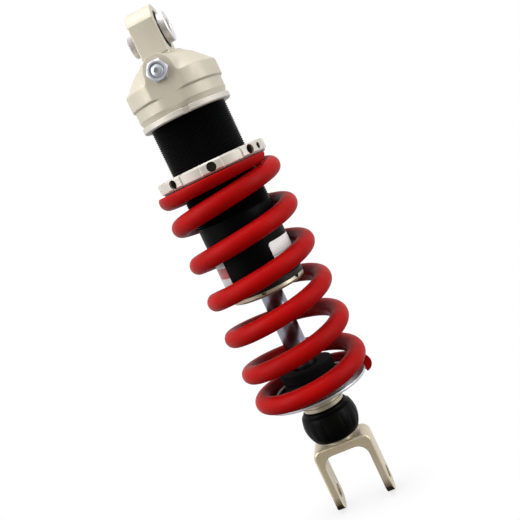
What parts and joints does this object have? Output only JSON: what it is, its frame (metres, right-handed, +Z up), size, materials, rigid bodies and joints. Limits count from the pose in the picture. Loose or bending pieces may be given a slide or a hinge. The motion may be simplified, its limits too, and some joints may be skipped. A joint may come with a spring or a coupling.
{
  "type": "motorcycle rear shock absorber",
  "caption": "Coil-over rear shock absorber: threaded gas damper tube with bearing eye, preload ring and red coil spring above a chromed rod, rebound knob and fork-shaped clevis.",
  "frame": {"origin": "centre of the upper eye's bolt hole", "axes": "+Z up along the damper towards the eye, +X along the upper and lower bolt holes, -Y to the front, where the gas valve is"},
  "size_m": [0.0854, 0.0854, 0.3701],
  "materials": {
    "champagne_anodised": "satin anodised",
    "silver_anodised": "satin anodised",
    "black_anodised": "satin anodised",
    "bright_steel": "turned and plated",
    "bearing_steel": "ground",
    "chrome_rod": "hard chrome, polished",
    "red_paint": "gloss powder coat",
    "black_rubber": "matt",
    "black_foam": "moulded foam",
    "black_plastic": "satin moulded",
    "white_label": "blank vinyl",
    "grey_label": "blank vinyl",
    "bronze": "sintered"
  },
  "bodies": {
    "damper_body": {"top_mount_head": "champagne_anodised", "bearing_outer_race": "bearing_steel", "bearing_circlips": "bearing_steel", "bearing_dust_seals": "black_rubber", "gas_valve_body": "bright_steel", "gas_valve_screw": "bright_steel", "head_lock_ring": "silver_anodised", "head_o_ring": "black_rubber", "damper_tube": "black_anodised", "tube_label_right": "white_label", "tube_label_left": "grey_label", "rod_guide": "black_anodised", "guide_bush": "bronze", "guide_o_ring": "black_rubber", "rod_seal": "black_rubber", "rod_wiper": "black_rubber", "end_cap": "champagne_anodised"},
    "eye_ball": {"bearing_ball": "bearing_steel"},
    "eye_collar_pair": {"eye_collars": "bright_steel"},
    "floating_piston": {"floating_piston": "black_anodised", "floating_piston_o_ring": "black_rubber"},
    "spring_upper_end": {"slip_washer": "silver_anodised", "coil_spring": "red_paint"},
    "preload_adjuster": {"preload_ring": "silver_anodised", "preload_lock_screw": "black_anodised"},
    "rod_assembly": {"piston_rod": "chrome_rod", "piston": "black_anodised", "piston_band": "bronze", "piston_nut": "bright_steel", "compression_shims": "bearing_steel", "rebound_shims": "bearing_steel", "top_out_washer": "black_foam", "bump_stop": "black_foam", "bump_stop_cup": "black_plastic", "lower_spring_seat": "silver_anodised", "seat_collar": "champagne_anodised", "clevis": "champagne_anodised", "knob_circlip": "bearing_steel", "detent_balls": "bearing_steel", "detent_springs": "bearing_steel"},
    "rebound_adjuster": {"rebound_knob": "black_plastic"},
    "rebound_needle_set": {"rebound_needle": "bearing_steel", "adjuster_pin": "bearing_steel"}
  },
  "joints": [
    {"name": "damper_stroke", "type": "slide", "parent": "damper_body", "child": "rod_assembly", "axis": [0, 0, 1], "range_m": [0, 0.058], "stiffness_N_per_m": 90000, "springref_m": -0.0002, "deforming": ["coil_spring"]},
    {"name": "gas_piston_slide", "type": "slide", "parent": "damper_body", "child": "floating_piston", "axis": [0, 0, 1], "range_m": [0, 0.0075]},
    {"name": "eye_tilt", "type": "hinge", "parent": "damper_body", "child": "eye_ball", "pos_m": [0, 0, 0], "axis": [0, 1, 0], "range_deg": [-3, 3]},
    {"name": "eye_swivel", "type": "hinge", "parent": "eye_ball", "child": "eye_collar_pair", "pos_m": [0, 0, 0], "axis": [1, 0, 0], "continuous": true},
    {"name": "preload_turn", "type": "hinge", "parent": "spring_upper_end", "child": "preload_adjuster", "pos_m": [0, 0, -0.09625], "axis": [0, 0, 1], "range_deg": [-1810, 727]},
    {"name": "preload_travel", "type": "slide", "parent": "damper_body", "child": "spring_upper_end", "axis": [0, 0, 1], "range_m": [-0.0075, 0.003]},
    {"name": "rebound_click", "type": "hinge", "parent": "rod_assembly", "child": "rebound_adjuster", "pos_m": [0, 0, -0.2893], "axis": [0, 0, 1], "range_deg": [0, 905]},
    {"name": "needle_lift", "type": "slide", "parent": "rod_assembly", "child": "rebound_needle_set", "axis": [0, 0, 1], "range_m": [0, 0.0029]}
  ],
  "couplings": [
    {"joint": "gas_piston_slide", "follows": "damper_stroke", "ratio": 0.12098},
    {"joint": "preload_turn", "follows": "preload_travel", "rad_per_m": 4188.8},
    {"joint": "rebound_click", "follows": "needle_lift", "rad_per_m": 5416.5}
  ]
}
